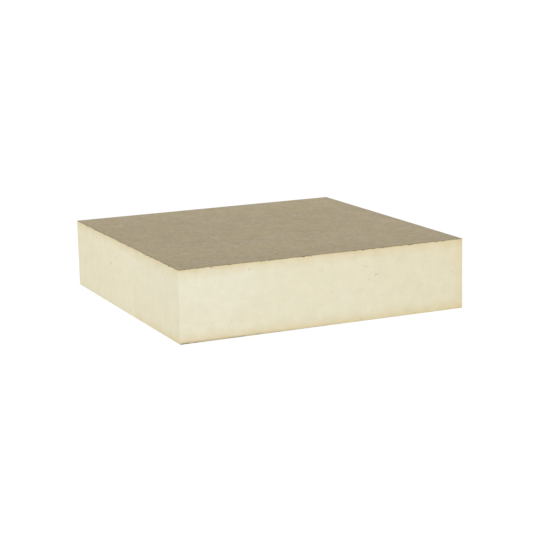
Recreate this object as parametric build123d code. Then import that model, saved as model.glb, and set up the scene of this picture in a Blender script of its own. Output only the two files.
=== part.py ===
from build123d import *
import os

# A cut sample of rigid polyisocyanurate roof and wall insulation board: a slab of closed-cell
# foam bonded between two thin felt facers, one on each broad face. The origin is at the middle
# of the underside, X runs along the front edge, Y from front to back and +Z up through the board.
# Lengths are in millimetres.

# Overall sizes of the sample
BOARD_LENGTH = 218.0
BOARD_WIDTH = 218.0
BOARD_THICKNESS = 50.8

# Both facers are the same felt, so they share one thickness
FACER_THICKNESS = 0.4

# The saw leaves the four upright edges slightly eased, through the foam and both facers
SAWN_EDGE_RADIUS = 0.6

# The foam fills what the two facers leave of the overall thickness
CORE_THICKNESS = BOARD_THICKNESS - 2 * FACER_THICKNESS
TOP_FACER_BASE = FACER_THICKNESS + CORE_THICKNESS


def sawn_plan():
    """Plan that all three layers share, its four corners eased by the one saw that cut through them."""
    with BuildSketch() as plan:
        RectangleRounded(BOARD_LENGTH, BOARD_WIDTH, SAWN_EDGE_RADIUS)
    return plan.sketch


def layer(base, thickness):
    """One layer of the board: the sawn plan raised from the height of its underside by its thickness."""
    return extrude(Pos(0, 0, base) * sawn_plan(), thickness)


def bottom_facer():
    """Felt bonded to the underside, the face that the board lies on."""
    return layer(0, FACER_THICKNESS)


def foam_core():
    """The foam slab, one piece from facer to facer, open to view on its four sawn sides."""
    return layer(FACER_THICKNESS, CORE_THICKNESS)


def top_facer():
    """Felt bonded to the top, flush with the foam's sides."""
    return layer(TOP_FACER_BASE, FACER_THICKNESS)


pieces = {
    "bottom_facer": bottom_facer(),
    "foam_core": foam_core(),
    "top_facer": top_facer(),
}

os.makedirs("parts", exist_ok=True)
for name, piece in pieces.items():
    export_step(piece, f"parts/{name}.step")
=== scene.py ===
from math import cos, pi, radians, sin
from random import Random

import bmesh
import bpy
from bpy.props import FloatProperty, FloatVectorProperty, IntProperty, PointerProperty
from bpy.types import Operator, Panel, PropertyGroup
from mathutils import Matrix, Vector
from mathutils.kdtree import KDTree


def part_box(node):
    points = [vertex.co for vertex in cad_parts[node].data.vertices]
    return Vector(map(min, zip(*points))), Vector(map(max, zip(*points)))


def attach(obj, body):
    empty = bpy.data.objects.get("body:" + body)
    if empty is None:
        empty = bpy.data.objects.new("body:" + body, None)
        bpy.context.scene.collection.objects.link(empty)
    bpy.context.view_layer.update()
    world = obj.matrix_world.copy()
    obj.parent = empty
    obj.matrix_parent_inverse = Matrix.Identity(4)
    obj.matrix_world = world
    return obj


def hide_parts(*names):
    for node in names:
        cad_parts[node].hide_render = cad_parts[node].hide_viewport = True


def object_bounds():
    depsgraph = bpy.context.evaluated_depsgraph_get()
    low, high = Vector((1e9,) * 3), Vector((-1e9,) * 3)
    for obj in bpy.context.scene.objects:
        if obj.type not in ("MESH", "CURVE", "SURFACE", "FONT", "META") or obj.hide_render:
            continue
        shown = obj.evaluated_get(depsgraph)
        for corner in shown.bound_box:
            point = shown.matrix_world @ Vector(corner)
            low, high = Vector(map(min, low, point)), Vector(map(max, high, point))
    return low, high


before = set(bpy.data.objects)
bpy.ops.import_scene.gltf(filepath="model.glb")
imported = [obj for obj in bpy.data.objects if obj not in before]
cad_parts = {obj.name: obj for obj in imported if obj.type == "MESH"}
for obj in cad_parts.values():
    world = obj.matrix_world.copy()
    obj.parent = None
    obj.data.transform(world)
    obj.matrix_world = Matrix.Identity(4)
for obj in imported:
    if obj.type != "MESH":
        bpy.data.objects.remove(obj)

bl_info = {
    "name": "Faced foam insulation board",
    "version": (1, 0, 0),
    "blender": (4, 5, 0),
    "location": "3D View > Sidebar > Board",
    "description": "Builds a cut sample of polyiso insulation board with its two felt facers",
    "category": "Add Mesh",
}

MM = 0.001
CAD_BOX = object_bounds()
CORE_LOW, CORE_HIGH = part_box("foam_core")
TOP_LOW, TOP_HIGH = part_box("top_facer")
BOTTOM_LOW, BOTTOM_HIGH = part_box("bottom_facer")

# Where each sawn side starts, seen from outside, and which way it runs
SIDES = {
    "front": (Vector((CORE_LOW.x, CORE_LOW.y, 0)), Vector((1, 0, 0))),
    "right": (Vector((CORE_HIGH.x, CORE_LOW.y, 0)), Vector((0, 1, 0))),
    "back": (Vector((CORE_HIGH.x, CORE_HIGH.y, 0)), Vector((-1, 0, 0))),
    "left": (Vector((CORE_LOW.x, CORE_HIGH.y, 0)), Vector((0, -1, 0))),
}


def in_metres(rows):
    """Rows that each start with a side's name, with the millimetres after it turned into metres."""
    return [(side, *(length * MM for length in lengths)) for side, *lengths in rows]


def linear(code):
    """Linear red, green and blue of an sRGB hex colour such as "E9E3CB"."""
    shares = [int(code[start:start + 2], 16) / 255 for start in (0, 2, 4)]
    return tuple(s / 12.92 if s <= 0.04045 else ((s + 0.055) / 1.055) ** 2.4 for s in shares)


# Settings that a user would change

class FoamSettings(PropertyGroup):
    """Sizes and colours of the foam core"""
    spacing: FloatProperty(
        name="Mesh spacing", description="Distance between mesh lines on the sawn sides",
        default=1.1 * MM, min=0.5 * MM, unit="LENGTH")
    sawn_edge: FloatProperty(
        name="Sawn edge radius", description="Radius of the four upright edges",
        default=0.6 * MM, min=0.1 * MM, unit="LENGTH")
    seat: FloatProperty(
        name="Seat in the felt", description="How far the foam soaks into the back of each facer",
        default=0.25 * MM, min=0.0, unit="LENGTH")
    waviness: FloatProperty(
        name="Saw waviness", description="Depth of the low places that the saw left in the sides",
        default=0.15 * MM, min=0.0, unit="LENGTH")
    void_depth: FloatProperty(
        name="Void depth", description="Depth of the widest void",
        default=0.7 * MM, min=0.0, unit="LENGTH")
    scattered_voids: IntProperty(
        name="Scattered voids", description="Number of voids scattered over each sawn side",
        default=30, min=0, max=80)
    cream: FloatVectorProperty(
        name="Foam", description="Colour of freshly sawn foam in the middle of the board",
        default=linear("E9E4CD"), min=0.0, max=1.0, subtype="COLOR")
    warm_cream: FloatVectorProperty(
        name="Warm foam", description="Colour of foam that light and air have begun to yellow",
        default=linear("E6DDBD"), min=0.0, max=1.0, subtype="COLOR")
    skin: FloatVectorProperty(
        name="Dense skin", description="Colour of the dense foam beside the facers",
        default=linear("DDCFA0"), min=0.0, max=1.0, subtype="COLOR")
    warm_skin: FloatVectorProperty(
        name="Warm skin", description="Colour of the dense foam where it is more orange",
        default=linear("E0CDA3"), min=0.0, max=1.0, subtype="COLOR")
    # Partly painted shade: the lining's own colour, made darker and greyer to stand for the shade inside
    # a void
    void_lining_and_shade: FloatVectorProperty(
        name="Void lining", description="Colour of the glassy skin inside a void",
        default=linear("D8D2B2"), min=0.0, max=1.0, subtype="COLOR")
    # A darker colour for the foot of the front, at its left
    dark_foot: FloatVectorProperty(
        name="Soiled foot", description="Colour of the dirt along the foot of the front, at its left",
        default=linear("96896A"), min=0.0, max=1.0, subtype="COLOR")


class FeltSettings(PropertyGroup):
    """Sizes and colours of the two felt facers"""
    spacing: FloatProperty(
        name="Mesh spacing", description="Distance between mesh lines on the broad faces",
        default=1.1 * MM, min=0.5 * MM, unit="LENGTH")
    sawn_corner: FloatProperty(
        name="Sawn corner radius", description="Plan radius of the four corners",
        default=0.6 * MM, min=0.1 * MM, unit="LENGTH")
    fringe: FloatProperty(
        name="Fringe", description="How far the torn rim of a facer strays up and down at random",
        default=0.25 * MM, min=0.0, unit="LENGTH")
    scattered_strays: IntProperty(
        name="Scattered strays",
        description="Number of tufts and tears along the top rim of each side that has no noted ones",
        default=20, min=0, max=60)
    fray: FloatProperty(
        name="Fray", description="How far the saw frayed the walls of a facer inwards",
        default=0.15 * MM, min=0.0, unit="LENGTH")
    cockle: FloatProperty(
        name="Cockle", description="Depth of the broad low places in a facer",
        default=0.08 * MM, min=0.0, unit="LENGTH")
    nap: FloatProperty(
        name="Nap", description="Depth of the small relief of the felt's fibres",
        default=0.04 * MM, min=0.0, unit="LENGTH")
    felt: FloatVectorProperty(
        name="Felt", description="Colour of the felt's broad face where it is greyer",
        default=linear("A5967D"), min=0.0, max=1.0, subtype="COLOR")
    olive_felt: FloatVectorProperty(
        name="Olive felt", description="Colour of the felt's broad face where it is more olive",
        default=linear("A39777"), min=0.0, max=1.0, subtype="COLOR")
    # Partly painted shade: the cut edge's own darker colour, made darker still for the shade among its
    # cut fibres
    cut_edge_and_shade: FloatVectorProperty(
        name="Cut edge", description="Colour of the felt where the saw went through it",
        default=linear("7E7257"), min=0.0, max=1.0, subtype="COLOR")
    low_edge: FloatVectorProperty(
        name="Lower cut edge", description="Colour of the bottom facer's cut edge at the front left",
        default=linear("8C8062"), min=0.0, max=1.0, subtype="COLOR")
    dusty_edge: FloatVectorProperty(
        name="Dusty cut edge", description="Colour of the bottom facer's edge where foam dust clings",
        default=linear("D6CFB6"), min=0.0, max=1.0, subtype="COLOR")
    fibre: FloatVectorProperty(
        name="Glass fibre", description="Colour of the glass fibres that lie in the felt's surface",
        default=linear("BDB299"), min=0.0, max=1.0, subtype="COLOR")


class StageSettings(PropertyGroup):
    """Light and floor of the studio"""
    sky: FloatProperty(
        name="Sky", description="Strength of the even light from all around",
        default=0.88, min=0.0)
    key_power: FloatProperty(
        name="Key lamp", description="Power of the large soft lamp at the front left, in watts",
        default=8.0, min=0.0)
    floor: FloatVectorProperty(
        name="Floor", description="Colour of the floor and backdrop",
        default=linear("F2F2F2"), min=0.0, max=1.0, subtype="COLOR")


# Helpers for edit mode and modifiers

SMOOTH_UP_TO = radians(40)
CLOUD_DETAIL = 2


def new_piece(name, add, low, high, **options):
    """Add a primitive that fills the box from low to high, with its place in its mesh."""
    bpy.ops.object.select_all(action="DESELECT")
    add(size=1, location=(low + high) / 2, **options)
    piece = bpy.context.object
    piece.name = piece.data.name = name
    piece.scale = [length or 1 for length in high - low]
    bpy.ops.object.transform_apply(location=True, rotation=True, scale=True)
    return piece


def select(kind, wanted):
    """In edit mode, select just the elements of one kind, verts, edges or faces, that are wanted."""
    bpy.ops.mesh.select_mode(type={"verts": "VERT", "edges": "EDGE", "faces": "FACE"}[kind])
    bpy.ops.mesh.select_all(action="DESELECT")
    mesh = bpy.context.edit_object.data
    shape = bmesh.from_edit_mesh(mesh)
    for element in getattr(shape, kind):
        if wanted(element):
            element.select_set(True)
    shape.select_flush_mode()
    bmesh.update_edit_mesh(mesh, loop_triangles=False, destructive=False)


def weigh(piece, name, weights):
    """Put the vertices of a piece in a new group, each with its weight."""
    group = piece.vertex_groups.new(name=name)
    for index, weight in weights.items():
        group.add([index], weight, "REPLACE")


def displace(piece, depth, direction="NORMAL", group="", grain=None, middle=1.0):
    """Move the vertices of a piece by up to depth, by a cloud texture of that grain if one is given.

    A vertex stays where the texture, or without one the number 1, is the middle value.
    """
    changed = piece.modifiers.new("Displace", "DISPLACE")
    changed.direction = direction
    changed.strength = depth
    changed.mid_level = middle
    changed.vertex_group = group
    if grain:
        clouds = bpy.data.textures.new(f"{piece.name}_relief", "CLOUDS")
        clouds.noise_scale = grain
        clouds.noise_depth = CLOUD_DETAIL
        changed.texture = clouds
        changed.texture_coords = "LOCAL"
    with bpy.context.temp_override(object=piece, active_object=piece):
        bpy.ops.object.modifier_apply(modifier=changed.name)


def finish_piece(piece, material, node_name):
    """Smooth a piece between its sharp edges, give it its material and hang it on the frame."""
    bpy.ops.object.select_all(action="DESELECT")
    piece.select_set(True)
    bpy.context.view_layer.objects.active = piece
    bpy.ops.object.shade_smooth_by_angle(angle=SMOOTH_UP_TO)
    piece.data.materials.append(material)
    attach(piece, "root")
    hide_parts(node_name)


# Materials

def per_metre(millimetres):
    """The scale of a noise whose features are this many millimetres across."""
    return 1000 / millimetres


def node(tree, kind, inputs=None, output=None, **settings):
    """Add a node, set or link its inputs by name or number, and return one of its outputs."""
    added = tree.nodes.new(kind)
    for name, value in settings.items():
        setattr(added, name, value)
    for key, value in (inputs or {}).items():
        if isinstance(key, int):
            target = added.inputs[key]
        else:
            target = next(socket for socket in added.inputs if socket.name == key and socket.enabled)
        if isinstance(value, bpy.types.NodeSocket):
            tree.links.new(value, target)
        else:
            target.default_value = value
    enabled = (socket for socket in added.outputs if socket.enabled)
    return next((socket for socket in enabled if output in (None, socket.name)), None)


def new_material(name):
    """An empty node material and its tree."""
    material = bpy.data.materials.new(name)
    material.use_nodes = True
    material.node_tree.nodes.clear()
    return material, material.node_tree


def facing_share(tree, facing, axis, most=1.0):
    """Up to most on a surface that faces the low end of an axis, as the front and left sides do."""
    along = node(tree, "ShaderNodeSeparateXYZ", {"Vector": facing}, axis)
    return node(
        tree, "ShaderNodeMapRange",
        {"Value": along, "From Min": -0.3, "From Max": -0.9, "To Max": most})


def skin_share(tree, place, wander):
    """How much the foam has of its dense yellow skin's colour, beside the facers and at upright edges."""
    width, depth, height = (
        node(tree, "ShaderNodeSeparateXYZ", {"Vector": place}, axis) for axis in "XYZ")

    # The skin along the bottom thins out towards the back
    thinned = node(
        tree, "ShaderNodeMapRange",
        {"Value": depth, "From Min": -100 * MM, "From Max": 40 * MM, "To Min": 0.0, "To Max": 6 * MM})
    above = node(tree, "ShaderNodeMath", {0: height, 1: CORE_LOW.z}, operation="SUBTRACT")
    above = node(tree, "ShaderNodeMath", {0: above, 1: thinned}, operation="ADD")
    below = node(tree, "ShaderNodeMath", {0: CORE_HIGH.z, 1: height}, operation="SUBTRACT")
    inward = node(tree, "ShaderNodeMath", {0: above, 1: below}, operation="MINIMUM")
    strayed = node(tree, "ShaderNodeMath", {0: inward, 1: wander}, operation="ADD")
    wide_band = node(
        tree, "ShaderNodeMapRange",
        {"Value": strayed, "From Min": 0.0, "From Max": 8.5 * MM, "To Min": 0.48, "To Max": 0.0},
        interpolation_type="SMOOTHSTEP")
    tight_band = node(
        tree, "ShaderNodeMapRange",
        {"Value": strayed, "From Min": -0.5 * MM, "From Max": 2.5 * MM, "To Min": 0.34, "To Max": 0.0},
        interpolation_type="SMOOTHSTEP")
    band = node(tree, "ShaderNodeMath", {0: wide_band, 1: tight_band}, operation="ADD")

    # Light has aged the upright edges, by their distance in plan, but not the fresher front left one
    mirrored = node(tree, "ShaderNodeVectorMath", {0: place}, operation="ABSOLUTE")
    mirrored = node(tree, "ShaderNodeVectorMath", {0: mirrored, 1: (1, 1, 0)}, operation="MULTIPLY")
    off_edge = node(
        tree, "ShaderNodeVectorMath", {0: mirrored, 1: (CORE_HIGH.x, CORE_HIGH.y, 0)}, "Value",
        operation="DISTANCE")
    off_edge = node(tree, "ShaderNodeMath", {0: off_edge, 1: wander}, operation="ADD")
    aged = node(
        tree, "ShaderNodeMapRange",
        {"Value": off_edge, "From Min": 2 * MM, "From Max": 8 * MM, "To Min": 0.28, "To Max": 0.0},
        interpolation_type="SMOOTHSTEP")
    diagonal = node(tree, "ShaderNodeMath", {0: depth, 1: 0.3, 2: width}, operation="MULTIPLY_ADD")
    outer = node(
        tree, "ShaderNodeMapRange", {"Value": diagonal, "From Min": -142 * MM, "From Max": 76 * MM})
    aged = node(tree, "ShaderNodeMath", {0: aged, 1: outer}, operation="MULTIPLY")
    return node(tree, "ShaderNodeMath", {0: band, 1: aged}, operation="ADD", use_clamp=True)


def body_warmth(tree, place, left_side):
    """How far the foam has yellowed: least at the left of its front, most at its left side's back."""
    width, depth = (node(tree, "ShaderNodeSeparateXYZ", {"Vector": place}, axis) for axis in "XY")
    drift = node(
        tree, "ShaderNodeTexNoise", {"Vector": place, "W": 20.7, "Scale": per_metre(40), "Detail": 3.0},
        noise_dimensions="4D")
    drift = node(tree, "ShaderNodeMapRange", {"Value": drift, "To Min": -0.65, "To Max": 0.65})
    across = node(
        tree, "ShaderNodeMapRange", {"Value": width, "From Min": CORE_LOW.x, "From Max": CORE_HIGH.x})
    across = node(tree, "ShaderNodeMath", {0: across, 1: 1.7}, operation="POWER")
    across = node(tree, "ShaderNodeMath", {0: across, 1: 0.85, 2: 0.05}, operation="MULTIPLY_ADD")
    backward = node(
        tree, "ShaderNodeMapRange",
        {"Value": depth, "From Min": CORE_LOW.y, "From Max": CORE_HIGH.y,
         "To Min": 0.65, "To Max": 1.25})
    warmth = node(tree, "ShaderNodeMath", {0: across, 1: drift}, operation="ADD")
    return node(
        tree, "ShaderNodeMath", {0: left_side, 1: backward, 2: warmth}, operation="MULTIPLY_ADD",
        use_clamp=True)


def darker_foot(tree, place, facing):
    """How much the foot of the front is darkened, most at its left."""
    width, height = (node(tree, "ShaderNodeSeparateXYZ", {"Vector": place}, axis) for axis in "XZ")
    darkened = node(
        tree, "ShaderNodeMapRange",
        {"Value": width, "From Min": CORE_LOW.x, "From Max": 10 * MM, "To Min": 0.5, "To Max": 0.0})
    front_side = facing_share(tree, facing, "Y")
    darkened = node(tree, "ShaderNodeMath", {0: darkened, 1: front_side}, operation="MULTIPLY")
    foot = node(
        tree, "ShaderNodeMapRange",
        {"Value": height, "From Min": CORE_LOW.z, "From Max": CORE_LOW.z + 1.5 * MM,
         "To Min": 1.0, "To Max": 0.0})
    return node(tree, "ShaderNodeMath", {0: darkened, 1: foot}, operation="MULTIPLY")


def sawn_foam(settings):
    """Sawn closed-cell polyisocyanurate foam: dull, chalky cream, its cut cells too fine to tell apart.

    The foam is denser and yellower within a few millimetres of each facer, and light has yellowed
    its outer upright edges. The W of a noise starts it where its warm places lie as on the board.
    """
    material, tree = new_material("sawn_polyiso_foam")
    place = node(tree, "ShaderNodeTexCoord", output="Object")
    facing = node(tree, "ShaderNodeNewGeometry", output="Normal")
    left_side = facing_share(tree, facing, "X", 0.4)
    stray = node(
        tree, "ShaderNodeTexNoise", {"Vector": place, "W": 19.0, "Scale": per_metre(9), "Detail": 4.0},
        noise_dimensions="4D")
    wander = node(tree, "ShaderNodeMapRange", {"Value": stray, "To Min": -2.5 * MM, "To Max": 2.5 * MM})

    body = node(
        tree, "ShaderNodeMix",
        {"Factor": body_warmth(tree, place, left_side),
         "A": (*settings.cream, 1.0), "B": (*settings.warm_cream, 1.0)}, data_type="RGBA")
    hue = node(tree, "ShaderNodeTexNoise", {"Vector": place, "Scale": per_metre(16), "Detail": 2.0})
    hue = node(tree, "ShaderNodeMapRange", {"Value": hue, "From Min": 0.4, "From Max": 0.6})
    skin = node(
        tree, "ShaderNodeMix",
        {"Factor": hue, "A": (*settings.skin, 1.0), "B": (*settings.warm_skin, 1.0)}, data_type="RGBA")
    banded = node(
        tree, "ShaderNodeMix",
        {"Factor": skin_share(tree, place, wander), "A": body, "B": skin}, data_type="RGBA")
    # The foot of the front is darker, most at its left
    darkened = node(
        tree, "ShaderNodeMix",
        {"Factor": darker_foot(tree, place, facing), "A": banded, "B": (*settings.dark_foot, 1.0)},
        data_type="RGBA")
    # Partly painted shade: each void takes the lining colour, most at the bottom of its bowl and most in
    # the widest voids
    void_lining_and_shade = node(tree, "ShaderNodeAttribute", output="Fac", attribute_name="void")
    lined_and_shaded = node(
        tree, "ShaderNodeMix",
        {"Factor": void_lining_and_shade, "A": darkened, "B": (*settings.void_lining_and_shade, 1.0)}, data_type="RGBA")

    # Cells are about 0.25 mm across, drawn at 0.9 mm because finer ones don't show
    cells = node(tree, "ShaderNodeTexVoronoi", {"Vector": place, "Scale": per_metre(0.9)}, "Distance")
    grains = node(tree, "ShaderNodeTexNoise", {"Vector": place, "Scale": per_metre(3.5), "Detail": 3.0})
    speckle = node(tree, "ShaderNodeMath", {0: cells, 1: grains}, operation="ADD")
    speckle = node(tree, "ShaderNodeMath", {0: stray, 1: 2.2, 2: speckle}, operation="MULTIPLY_ADD")
    shade = node(
        tree, "ShaderNodeMapRange",
        {"Value": speckle, "From Min": 1.4, "From Max": 2.6, "To Min": 0.965, "To Max": 1.035})

    # The left side is darker towards the front
    depth = node(tree, "ShaderNodeSeparateXYZ", {"Vector": place}, "Y")
    left_front_darkening = node(
        tree, "ShaderNodeMapRange",
        {"Value": depth, "From Min": 0.0, "From Max": CORE_LOW.y, "To Min": 0.0, "To Max": 0.11})
    left_front_darkening = node(tree, "ShaderNodeMath", {0: left_front_darkening, 1: left_side}, operation="MULTIPLY")
    shade = node(tree, "ShaderNodeMath", {0: shade, 1: left_front_darkening}, operation="SUBTRACT")
    colour = node(tree, "ShaderNodeVectorMath", {0: lined_and_shaded, "Scale": shade}, operation="SCALE")
    relief = node(tree, "ShaderNodeBump", {"Height": speckle, "Strength": 0.35, "Distance": 0.12 * MM})
    shader = node(
        tree, "ShaderNodeBsdfPrincipled",
        {"Base Color": colour, "Normal": relief, "Roughness": 0.92,
         "IOR": 1.45, "Specular IOR Level": 0.25})
    node(tree, "ShaderNodeOutputMaterial", {"Surface": shader})
    return material


def glass_fibres(tree, place):
    """How much the pale glass fibres show, which lie in the felt's surface in all directions.

    They are about 0.01 mm thick and lie in bundles, drawn as streaks up to 9 mm long and 0.7 mm wide
    because finer ones don't show.
    """
    fibres = None
    for turn in (0.1, 0.7, 1.4, 2.0, 2.7):
        turned = node(
            tree, "ShaderNodeMapping",
            {"Vector": place, "Rotation": (0, 0, turn), "Scale": (9 * MM, 0.7 * MM, 9 * MM)},
            vector_type="TEXTURE")
        streak = node(tree, "ShaderNodeTexNoise", {"Vector": turned, "Scale": 1.0, "Detail": 1.0})
        streak = node(tree, "ShaderNodeMapRange", {"Value": streak, "From Min": 0.64, "From Max": 0.74})
        fibres = streak if fibres is None else node(
            tree, "ShaderNodeMath", {0: fibres, 1: streak}, operation="MAXIMUM")
    return node(tree, "ShaderNodeMath", {0: fibres, 1: 0.45}, operation="MULTIPLY")


def felt_shade(tree, place, tufts, clouds):
    """How light the felt is from place to place: fine and broad mottling, painted light that darkens the
    front border and pales the back, and a little darkening towards the left.
    """
    tufted = node(
        tree, "ShaderNodeMapRange",
        {"Value": tufts, "From Min": 0.25, "From Max": 0.75, "To Min": 0.91, "To Max": 1.09})
    clouded = node(
        tree, "ShaderNodeMapRange",
        {"Value": clouds, "From Min": 0.25, "From Max": 0.75, "To Min": 0.94, "To Max": 1.06})
    pepper = node(tree, "ShaderNodeTexNoise", {"Vector": place, "Scale": per_metre(1.2), "Detail": 2.0})
    peppered = node(
        tree, "ShaderNodeMapRange",
        {"Value": pepper, "From Min": 0.25, "From Max": 0.75, "To Min": 0.88, "To Max": 1.12})

    # Painted light from behind: the front border is darker than the rest and the back is palest. The felt
    # is also a little darker towards the left
    width, depth = (node(tree, "ShaderNodeSeparateXYZ", {"Vector": place}, axis) for axis in "XY")
    front = node(
        tree, "ShaderNodeMapRange",
        {"Value": depth, "From Min": TOP_LOW.y, "From Max": -70 * MM, "To Min": 0.925, "To Max": 0.995})
    back = node(
        tree, "ShaderNodeMapRange",
        {"Value": depth, "From Min": 45 * MM, "From Max": TOP_HIGH.y, "To Min": 1.0, "To Max": 1.06})
    left = node(
        tree, "ShaderNodeMapRange",
        {"Value": width, "From Min": TOP_LOW.x, "From Max": TOP_HIGH.x, "To Min": 0.97, "To Max": 1.02})
    shade = tufted
    for share in (clouded, peppered, front, back, left):
        shade = node(tree, "ShaderNodeMath", {0: shade, 1: share}, operation="MULTIPLY")
    return shade


def cut_share(tree, place, facing, clouds):
    """How much the felt has of its cut edge's colour, which is partly painted shade: all of it on the
    walls, some beside them.

    A narrow border of the broad face beside the walls is darker too, more in some places than in others,
    and less so near the front left corner.
    """
    upward = node(tree, "ShaderNodeSeparateXYZ", {"Vector": facing}, "Z")
    flat = node(tree, "ShaderNodeMath", {0: upward}, operation="ABSOLUTE")
    wall = node(
        tree, "ShaderNodeMapRange",
        {"Value": flat, "From Min": 0.6, "From Max": 0.9, "To Min": 1.0, "To Max": 0.0})
    mirrored = node(tree, "ShaderNodeVectorMath", {0: place}, operation="ABSOLUTE")
    off_middle = node(
        tree, "ShaderNodeMath",
        {0: node(tree, "ShaderNodeSeparateXYZ", {"Vector": mirrored}, "X"),
         1: node(tree, "ShaderNodeSeparateXYZ", {"Vector": mirrored}, "Y")}, operation="MAXIMUM")
    wander = node(tree, "ShaderNodeMapRange", {"Value": clouds, "To Min": -2.5 * MM, "To Max": 2.5 * MM})
    off_middle = node(tree, "ShaderNodeMath", {0: off_middle, 1: wander}, operation="ADD")
    border = node(
        tree, "ShaderNodeMapRange",
        {"Value": off_middle, "From Min": TOP_HIGH.x - 1.8 * MM, "From Max": TOP_HIGH.x, "To Max": 0.5})
    dark = node(tree, "ShaderNodeMath", {0: wall, 1: border}, operation="MAXIMUM")
    off_corner = node(
        tree, "ShaderNodeVectorMath", {0: place, 1: (TOP_LOW.x, TOP_LOW.y, TOP_HIGH.z)}, "Value",
        operation="DISTANCE")
    corner_fade = node(
        tree, "ShaderNodeMapRange",
        {"Value": off_corner, "From Min": 3 * MM, "From Max": 8 * MM, "To Min": 0.3})
    return node(tree, "ShaderNodeMath", {0: dark, 1: corner_fade}, operation="MULTIPLY")


def cut_colour(settings, tree, place, facing):
    """Colour of the felt's cut edge, partly painted shade, which on the bottom facer is dusty, and darker
    at the front left.
    """
    width, height = (node(tree, "ShaderNodeSeparateXYZ", {"Vector": place}, axis) for axis in "XZ")
    lower = node(tree, "ShaderNodeMath", {0: height, 1: CORE_HIGH.z / 2}, operation="LESS_THAN")
    near_left = node(
        tree, "ShaderNodeMapRange",
        {"Value": width, "From Min": BOTTOM_LOW.x, "From Max": 30 * MM, "To Min": 1.0, "To Max": 0.0})
    front_side = facing_share(tree, facing, "Y")
    darkened = node(tree, "ShaderNodeMath", {0: front_side, 1: near_left}, operation="MULTIPLY")
    low_cut = node(
        tree, "ShaderNodeMix",
        {"Factor": darkened, "A": (*settings.dusty_edge, 1.0), "B": (*settings.low_edge, 1.0)},
        data_type="RGBA")
    return node(
        tree, "ShaderNodeMix",
        {"Factor": lower, "A": (*settings.cut_edge_and_shade, 1.0), "B": low_cut}, data_type="RGBA")


def glass_felt(settings):
    """Cellulose felt reinforced with glass fibre: dull grey-tan, mottled, with stray pale fibres.

    The W of a noise starts it where its pale and olive places lie as on the board.
    """
    material, tree = new_material("glass_reinforced_felt")
    place = node(tree, "ShaderNodeTexCoord", output="Object")
    facing = node(tree, "ShaderNodeNewGeometry", output="Normal")
    tufts = node(tree, "ShaderNodeTexNoise", {"Vector": place, "Scale": per_metre(3.5), "Detail": 5.0})
    clouds = node(
        tree, "ShaderNodeTexNoise", {"Vector": place, "W": 15.6, "Scale": per_metre(16), "Detail": 3.0},
        noise_dimensions="4D")
    hue = node(
        tree, "ShaderNodeTexNoise", {"Vector": place, "W": 11.9, "Scale": per_metre(20), "Detail": 2.0},
        noise_dimensions="4D")
    hue = node(tree, "ShaderNodeMapRange", {"Value": hue, "From Min": 0.34, "From Max": 0.66})
    pulp = node(
        tree, "ShaderNodeMix",
        {"Factor": hue, "A": (*settings.felt, 1.0), "B": (*settings.olive_felt, 1.0)}, data_type="RGBA")
    fibres = glass_fibres(tree, place)
    threaded = node(
        tree, "ShaderNodeMix",
        {"Factor": fibres, "A": pulp, "B": (*settings.fibre, 1.0)}, data_type="RGBA")
    # Partly painted shade: the walls and a narrow border beside them take the cut edge's darker colour
    body = node(
        tree, "ShaderNodeMix",
        {"Factor": cut_share(tree, place, facing, clouds), "A": threaded,
         "B": cut_colour(settings, tree, place, facing)}, data_type="RGBA")
    shade = felt_shade(tree, place, tufts, clouds)
    colour = node(tree, "ShaderNodeVectorMath", {0: body, "Scale": shade}, operation="SCALE")
    height = node(tree, "ShaderNodeMath", {0: tufts, 1: fibres}, operation="ADD")
    relief = node(tree, "ShaderNodeBump", {"Height": height, "Strength": 0.5, "Distance": 0.15 * MM})
    shader = node(
        tree, "ShaderNodeBsdfPrincipled",
        {"Base Color": colour, "Normal": relief, "Roughness": 0.88,
         "IOR": 1.5, "Specular IOR Level": 0.35})
    node(tree, "ShaderNodeOutputMaterial", {"Surface": shader})
    return material


def pale_floor(settings):
    """Matt white paper. Most of what the camera sees of it is plain white, the rest takes the shadow."""
    material, tree = new_material("white_backdrop_paper")
    camera = node(tree, "ShaderNodeLightPath", output="Is Camera Ray")
    share = node(tree, "ShaderNodeMath", {0: camera, 1: 0.85}, operation="MULTIPLY")
    paper = node(tree, "ShaderNodeBsdfDiffuse", {"Color": (*settings.floor, 1.0)})
    white = node(tree, "ShaderNodeEmission", {"Color": (1.0, 1.0, 1.0, 1.0), "Strength": 1.05})
    mixed = node(tree, "ShaderNodeMixShader", {0: share, 1: paper, 2: white})
    node(tree, "ShaderNodeOutputMaterial", {"Surface": mixed})
    return material


# The foam

# The voids that show best: side, and in millimetres the distance along it, height and radius
NOTED_VOIDS = in_metres((
    ("front", 147.6, 31.7, 1.0),
    ("front", 149.3, 32.2, 0.8),
    ("front", 140.2, 38.5, 0.85),
    ("front", 137, 39.5, 0.5),
    ("front", 142.2, 28.6, 0.65),
    ("front", 209.3, 28.1, 0.9),
    ("front", 106.1, 39.0, 0.75),
    ("front", 113.2, 23.2, 0.55),
    ("front", 94, 17.4, 0.55),
    ("front", 51.4, 45.7, 0.92),
    ("front", 37, 11.6, 0.7),
    ("front", 23.3, 11.6, 0.7),
    ("left", 80.2, 30.3, 1.4),
    ("left", 78.4, 30.4, 1.3),
    ("left", 91.3, 36.9, 1.15),
    ("left", 88.0, 26.5, 0.95),
    ("left", 47.8, 44.8, 1.4),
    ("left", 142.8, 38.4, 1.2),
    ("left", 131.4, 22.9, 0.95),
))
WIDEST_VOID = max(radius for side, along, height, radius in NOTED_VOIDS)

# The scattered voids keep clear of the edges, and none is smaller than this radius in millimetres
SCATTER_ALONG = (4 * MM, 214 * MM)
SCATTER_HEIGHTS = (4 * MM, 47 * MM)
SMALLEST_VOID = 0.25

# One call can cut an edge at most this often, so a second one halves the columns where they are wide
COLUMN_CUTS = 100
SAW_WAVE_GRAIN = 14 * MM


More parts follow.
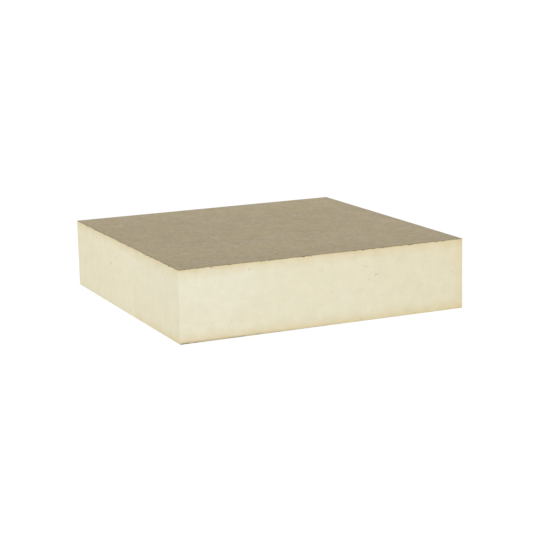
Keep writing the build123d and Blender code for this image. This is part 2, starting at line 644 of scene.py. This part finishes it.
def all_voids(count):
    """The noted voids and a seeded scatter over the four sides, as centres and radii.

    The scattered ones are small, with a few wider ones on the sides that have no noted voids.
    """
    chance = Random(7)
    voids = list(NOTED_VOIDS)
    noted_sides = {side for side, *rest in NOTED_VOIDS}
    for side in SIDES:
        for _ in range(count):
            along = chance.uniform(*SCATTER_ALONG)
            height = chance.uniform(*SCATTER_HEIGHTS)
            size = chance.random()
            extra = 0.2 * size if side in noted_sides else 0.95 * size ** 4
            voids.append((side, along, height, (SMALLEST_VOID + extra) * MM))
    placed = []
    for side, along, height, radius in voids:
        start, run = SIDES[side]
        placed.append((start + run * along + Vector((0, 0, height)), radius))
    return placed


def is_upright(edge):
    """True of an edge that stands straight up."""
    first, second = (vertex.co for vertex in edge.verts)
    return (first.xy - second.xy).length < 0.01 * MM


def model_foam(settings):
    """A sawn block of foam with eased upright edges, slightly wavy sides and voids cut open."""
    seat = Vector((0, 0, settings.seat))
    block = new_piece("foam_block", bpy.ops.mesh.primitive_cube_add, CORE_LOW - seat, CORE_HIGH + seat)
    bpy.ops.object.mode_set(mode="EDIT")
    select("edges", is_upright)
    bpy.ops.mesh.bevel(offset=settings.sawn_edge, segments=3, affect="EDGES")
    select("edges", lambda edge: not is_upright(edge) and edge.calc_length() > 2 * settings.sawn_edge)
    bpy.ops.mesh.subdivide(number_cuts=COLUMN_CUTS)
    select("edges", lambda edge: not is_upright(edge) and edge.calc_length() > 1.5 * settings.spacing)
    bpy.ops.mesh.subdivide(number_cuts=1)
    select("edges", is_upright)
    rows = round((CORE_HIGH.z - CORE_LOW.z) / settings.spacing)
    bpy.ops.mesh.subdivide(number_cuts=rows - 1)

    voids = all_voids(settings.scattered_voids)
    near = KDTree(len(voids))
    for number, (centre, radius) in enumerate(voids):
        near.insert(centre, number)
    near.balance()

    def by_a_void(face):
        if len(face.verts) > 4:
            return False
        centre, number, distance = near.find(face.calc_center_median())
        return distance < voids[number][1] + settings.spacing

    select("faces", by_a_void)
    bpy.ops.mesh.subdivide(number_cuts=3)
    bpy.ops.object.mode_set(mode="OBJECT")
    displace(block, settings.waviness, grain=SAW_WAVE_GRAIN)
    cut_voids(block, voids, near, settings.void_depth)
    return block


def cut_voids(block, voids, near, depth):
    """Sink a bowl at each void, and keep how deep it is at each vertex for the void's lining and its
    painted shade.
    """
    bowls = {}
    for vertex in block.data.vertices:
        for centre, number, distance in near.find_range(vertex.co, WIDEST_VOID):
            radius = voids[number][1]
            if distance < radius:
                bowl = radius / WIDEST_VOID * (1 - (distance / radius) ** 2) ** 0.5
                bowls[vertex.index] = max(bowl, bowls.get(vertex.index, 0))
    weigh(block, "voids", bowls)
    displace(block, -depth, group="voids", middle=0.0)
    shown = block.data.attributes.new("void", "FLOAT", "POINT")
    for index, bowl in bowls.items():
        shown.data[index].value = bowl


# The facers

# Places along the top facer's rim where it hangs down over the foam in a tuft, or is torn off higher
# up: side, and in millimetres the distance along it and how far down the rim hangs
TOP_RIM_STRAYS = in_metres((
    ("front", 1.7, 0.4), ("front", 11, -0.25), ("front", 24, 0.4), ("front", 30, -0.25),
    ("front", 34, -0.25), ("front", 40, -0.25), ("front", 66, 0.2), ("front", 85, -0.25),
    ("front", 92, 0.35), ("front", 98, 0.25), ("front", 112, 0.35), ("front", 115, 0.3),
    ("front", 122, 0.3), ("front", 137, 0.25), ("front", 143, -0.25), ("front", 149, -0.2),
    ("front", 164, -0.2), ("front", 174, 0.3), ("front", 200, 0.25), ("front", 208, 0.3),
    ("left", 67, 0.3), ("left", 87, 0.35), ("left", 112, 0.3), ("left", 115, 0.35),
    ("left", 118, 0.4), ("left", 121, 0.35), ("left", 126, 0.3), ("left", 130, 0.4),
    ("left", 133, 0.35), ("left", 154, 0.4), ("left", 157, 0.4), ("left", 161, 0.3),
    ("left", 166, 0.4), ("left", 173, -0.25), ("left", 181, -0.25), ("left", 196, 0.4),
    ("left", 199, 0.4), ("left", 203, 0.4),
))
# The bottom facer's rim stands higher at the left of the front, and is pinched thin at the right of
# the front and along the left side
BOTTOM_RIM_STRAYS = in_metres(
    [("front", along, -0.25) for along in range(2, 70, 2)]
    + [("front", along, 0.22) for along in range(110, 218, 6)]
    + [("left", along, 0.22) for along in range(0, 190, 6)])

# The scattered strays keep clear of the corners. Each hangs down by one of these many millimetres,
# where less than nothing is a tear
STRAY_ALONG = (8 * MM, 210 * MM)
STRAY_DROPS = (-0.25, 0.2, 0.3, 0.35, 0.4)
FARTHEST_STRAY = 0.4 * MM

# How far a tuft, a thin place and a tear reach along the rim to each side of their middle
TUFT_REACH = 1.6 * MM
THIN_REACH = 6 * MM
TEAR_REACH = 4 * MM

# The edge between a facer's broad face and its walls is eased, and its back narrower than its walls
FACE_EASE = 0.06 * MM
BACK_NARROWING = 1.2 * MM

# How far apart the low places lie in each kind of relief
FRAY_GRAIN = 2.5 * MM
COCKLE_GRAIN = 50 * MM
NAP_GRAIN = 4 * MM
FRINGE_GRAIN = 6 * MM


def scattered_strays(count):
    """A seeded scatter of tufts and tears along the top rim of the sides that have no noted ones."""
    chance = Random(5)
    noted_sides = {side for side, *rest in TOP_RIM_STRAYS}
    strays = []
    for side in SIDES:
        if side not in noted_sides:
            for _ in range(count):
                along = chance.uniform(*STRAY_ALONG)
                strays.append((side, along, chance.choice(STRAY_DROPS) * MM))
    return strays


def stray_weights(piece, rim, strays, sign, reach):
    """Weights of a rim's vertices for its strays of one sign: one at the farthest, fading along it."""
    weights = {}
    for index in rim:
        place = piece.data.vertices[index].co
        for side, along, drop in strays:
            start, run = SIDES[side]
            distance = (place - start - run * along).xy.length
            if drop * sign > 0 and distance < reach:
                weight = drop * sign / FARTHEST_STRAY * cos(distance / reach * pi / 2) ** 2
                weights[index] = max(weight, weights.get(index, 0))
    return weights


def round_corners(piece, low, high, radius):
    """Draw the corners of a flat grid in to arcs without cutting the grid."""
    for sign_x, sign_y in ((-1, -1), (-1, 1), (1, -1), (1, 1)):
        centre = Vector((high.x if sign_x > 0 else low.x, high.y if sign_y > 0 else low.y))
        centre -= Vector((sign_x, sign_y)) * radius
        for vertex in piece.data.vertices:
            right = (vertex.co.x - centre.x) * sign_x / radius
            up = (vertex.co.y - centre.y) * sign_y / radius
            if right > 0 and up > 0:
                vertex.co.x = centre.x + sign_x * radius * right * (1 - up * up / 2) ** 0.5
                vertex.co.y = centre.y + sign_y * radius * up * (1 - right * right / 2) ** 0.5


def add_walls(length, outward, thickness):
    """In edit mode, close a sheet with walls from its border to a rim, and a flat back within the rim."""
    select("edges", lambda edge: edge.is_boundary)
    widen = length / (length - 2 * FACE_EASE)
    bpy.ops.mesh.extrude_region_move(TRANSFORM_OT_translate={"value": (0, 0, -outward * FACE_EASE)})
    bpy.ops.transform.resize(value=(widen, widen, 1), center_override=(0, 0, 0))
    bpy.ops.object.vertex_group_assign_new()
    bpy.context.object.vertex_groups[-1].name = "wall"
    bpy.ops.mesh.extrude_region_move(
        TRANSFORM_OT_translate={"value": (0, 0, outward * (FACE_EASE - thickness))})
    bpy.ops.object.vertex_group_assign_new()
    bpy.context.object.vertex_groups[-1].name = "rim"
    bpy.ops.mesh.extrude_region_move()
    narrow = 1 - BACK_NARROWING / length
    bpy.ops.transform.resize(value=(narrow, narrow, 1), center_override=(0, 0, 0))
    bpy.ops.object.vertex_group_remove_from(use_all_groups=True)
    bpy.ops.mesh.edge_face_add()
    bpy.ops.mesh.select_all(action="SELECT")
    bpy.ops.mesh.normals_make_consistent(inside=False)


def model_facer(name, low, high, outward, settings, strays, tuft_reach):
    """One felt facer: a broad face with soft relief, walls with a ragged rim, and a flat back."""
    outer = high.z if outward > 0 else low.z
    sheet_low = Vector((low.x + FACE_EASE, low.y + FACE_EASE, outer))
    sheet_high = Vector((high.x - FACE_EASE, high.y - FACE_EASE, outer))
    lines = round((high.x - low.x) / settings.spacing)
    felt = new_piece(
        name, bpy.ops.mesh.primitive_grid_add, sheet_low, sheet_high,
        x_subdivisions=lines, y_subdivisions=lines)
    bpy.ops.object.mode_set(mode="EDIT")
    select("edges", lambda edge: edge.is_boundary)
    bpy.ops.mesh.subdivide(number_cuts=2)
    bpy.ops.object.mode_set(mode="OBJECT")
    round_corners(felt, sheet_low, sheet_high, settings.sawn_corner)
    bpy.ops.object.mode_set(mode="EDIT")
    add_walls(high.x - low.x, outward, high.z - low.z)
    bpy.ops.object.mode_set(mode="OBJECT")

    rim_group = felt.vertex_groups["rim"].index
    rim = [v.index for v in felt.data.vertices if any(each.group == rim_group for each in v.groups)]
    tufts = stray_weights(felt, rim, strays, 1, tuft_reach)
    weigh(felt, "tufts", tufts)
    for index, weight in tufts.items():
        felt.vertex_groups["wall"].add([index], 1 - weight ** 4, "REPLACE")
    weigh(felt, "tears", stray_weights(felt, rim, strays, -1, TEAR_REACH))
    displace(felt, -settings.fray, group="wall", grain=FRAY_GRAIN, middle=0.0)
    displace(felt, outward * settings.cockle, direction="Z", grain=COCKLE_GRAIN)
    displace(felt, outward * settings.nap, direction="Z", grain=NAP_GRAIN)
    displace(felt, settings.fringe, direction="Z", group="rim", grain=FRINGE_GRAIN, middle=0.5)
    displace(felt, -FARTHEST_STRAY, direction="Z", group="tufts", middle=0.0)
    displace(felt, FARTHEST_STRAY, direction="Z", group="tears", middle=0.0)
    return felt


# The stage: the camera as solved from the board's corners and edges, the light and the floor

CAMERA_AZIMUTH = radians(-24.2871)
CAMERA_ELEVATION = radians(11.8271)
CAMERA_ROLL = radians(-1.2358)
CAMERA_DISTANCE = 1042.19 * MM
CORNER_LEFT_OF_VIEW = 59.556 * MM
CORNER_BELOW_VIEW = 49.845 * MM
FOCAL_PIXELS = 1567.56
PICTURE_PIXELS = 540
SENSOR = 36.0
LAMP_SIZE = 1.4
LAMP_PLACE = (-1.15, -1.2, 1.15)
LAMP_AIM = (0, 0, 0.03)
FLOOR_SIZE = 8
FLOOR_GAP = 0.05 * MM


def add_camera():
    """The camera that saw the board: its front left foot lies left of and below the line of sight."""
    azimuth, elevation, roll = CAMERA_AZIMUTH, CAMERA_ELEVATION, CAMERA_ROLL
    back = Vector((sin(azimuth) * cos(elevation), -cos(azimuth) * cos(elevation), sin(elevation)))
    level = Vector((cos(azimuth), sin(azimuth), 0))
    plumb = back.cross(level)
    right = level * cos(roll) + plumb * sin(roll)
    up = plumb * cos(roll) - level * sin(roll)
    foot = Vector(CAD_BOX[0])
    place = foot + right * CORNER_LEFT_OF_VIEW + up * CORNER_BELOW_VIEW + back * CAMERA_DISTANCE
    data = bpy.data.cameras.new("camera")
    data.sensor_width = SENSOR
    data.lens = SENSOR * FOCAL_PIXELS / PICTURE_PIXELS
    camera = bpy.data.objects.new("camera", data)
    bpy.context.scene.collection.objects.link(camera)
    turn = Matrix((right, up, back)).transposed()
    camera.matrix_world = Matrix.Translation(place) @ turn.to_4x4()
    bpy.context.scene.camera = camera


def add_world(settings):
    """An even white sky, seen as plain white by the camera and in reflections."""
    world = bpy.data.worlds.new("studio")
    bpy.context.scene.world = world
    world.use_nodes = True
    tree = world.node_tree
    tree.nodes.clear()
    camera = node(tree, "ShaderNodeLightPath", output="Is Camera Ray")
    glossy = node(tree, "ShaderNodeLightPath", output="Is Glossy Ray")
    through = node(tree, "ShaderNodeLightPath", output="Is Transmission Ray")
    seen = node(tree, "ShaderNodeMath", {0: camera, 1: glossy}, operation="MAXIMUM")
    seen = node(tree, "ShaderNodeMath", {0: seen, 1: through}, operation="MAXIMUM")
    strength = node(
        tree, "ShaderNodeMapRange", {"Value": seen, "To Min": settings.sky, "To Max": 1.0})
    sky = node(tree, "ShaderNodeBackground", {"Color": (1.0, 1.0, 1.0, 1.0), "Strength": strength})
    node(tree, "ShaderNodeOutputWorld", {"Surface": sky})


def add_key_lamp(settings):
    """A large soft lamp at the front left, above the camera, so its shadow falls behind the board."""
    data = bpy.data.lights.new("key_lamp", "AREA")
    data.shape = "DISK"
    data.size = LAMP_SIZE
    data.energy = settings.key_power
    lamp = bpy.data.objects.new("key_lamp", data)
    bpy.context.scene.collection.objects.link(lamp)
    lamp.location = LAMP_PLACE
    lamp.rotation_euler = (Vector(LAMP_AIM) - lamp.location).to_track_quat("-Z", "Y").to_euler()


# Operators

class BOARD_OT_foam(Operator):
    """Model the sawn foam core in place of the plain one"""
    bl_idname = "board.foam"
    bl_label = "Foam core"

    def execute(self, context):
        settings = context.scene.board_foam
        block = model_foam(settings)
        finish_piece(block, sawn_foam(settings), "foam_core")
        return {"FINISHED"}


class BOARD_OT_facers(Operator):
    """Model the felt facers on the top and underside in place of the plain ones"""
    bl_idname = "board.facers"
    bl_label = "Felt facers"

    def execute(self, context):
        settings = context.scene.board_felt
        felt = glass_felt(settings)
        strays = TOP_RIM_STRAYS + scattered_strays(settings.scattered_strays)
        top = model_facer("top_felt", TOP_LOW, TOP_HIGH, 1, settings, strays, TUFT_REACH)
        finish_piece(top, felt, "top_facer")
        bottom = model_facer(
            "bottom_felt", BOTTOM_LOW, BOTTOM_HIGH, -1, settings, BOTTOM_RIM_STRAYS, THIN_REACH)
        finish_piece(bottom, felt, "bottom_facer")
        return {"FINISHED"}


class BOARD_OT_stage(Operator):
    """Set up the pale floor, the soft studio light and the camera"""
    bl_idname = "board.stage"
    bl_label = "Stage"

    def execute(self, context):
        settings = context.scene.board_stage
        context.scene.view_settings.view_transform = "Standard"
        bpy.ops.object.select_all(action="DESELECT")
        bpy.ops.mesh.primitive_plane_add(size=FLOOR_SIZE, location=(0, 0, -FLOOR_GAP))
        floor = context.object
        floor.name = floor.data.name = "floor"
        bpy.ops.object.transform_apply(location=True, rotation=True, scale=True)
        floor.data.materials.append(pale_floor(settings))
        add_world(settings)
        add_key_lamp(settings)
        add_camera()
        return {"FINISHED"}


class BOARD_PT_panel(Panel):
    """The board's sizes and colours, and a button for each part of it"""
    bl_label = "Insulation board"
    bl_space_type = "VIEW_3D"
    bl_region_type = "UI"
    bl_category = "Board"

    def draw(self, context):
        for operator, settings in (
            (BOARD_OT_foam, context.scene.board_foam),
            (BOARD_OT_facers, context.scene.board_felt),
            (BOARD_OT_stage, context.scene.board_stage),
        ):
            box = self.layout.box()
            box.operator(operator.bl_idname)
            for name in settings.bl_rna.properties.keys():
                if name not in ("rna_type", "name"):
                    box.prop(settings, name)


CLASSES = (
    FoamSettings, FeltSettings, StageSettings,
    BOARD_OT_foam, BOARD_OT_facers, BOARD_OT_stage, BOARD_PT_panel,
)


def register():
    for each in CLASSES:
        bpy.utils.register_class(each)
    bpy.types.Scene.board_foam = PointerProperty(type=FoamSettings)
    bpy.types.Scene.board_felt = PointerProperty(type=FeltSettings)
    bpy.types.Scene.board_stage = PointerProperty(type=StageSettings)


def unregister():
    del bpy.types.Scene.board_stage
    del bpy.types.Scene.board_felt
    del bpy.types.Scene.board_foam
    for each in reversed(CLASSES):
        bpy.utils.unregister_class(each)


def main():
    register()
    bpy.ops.board.stage()
    bpy.ops.board.foam()
    bpy.ops.board.facers()


if __name__ == "__main__":
    main()
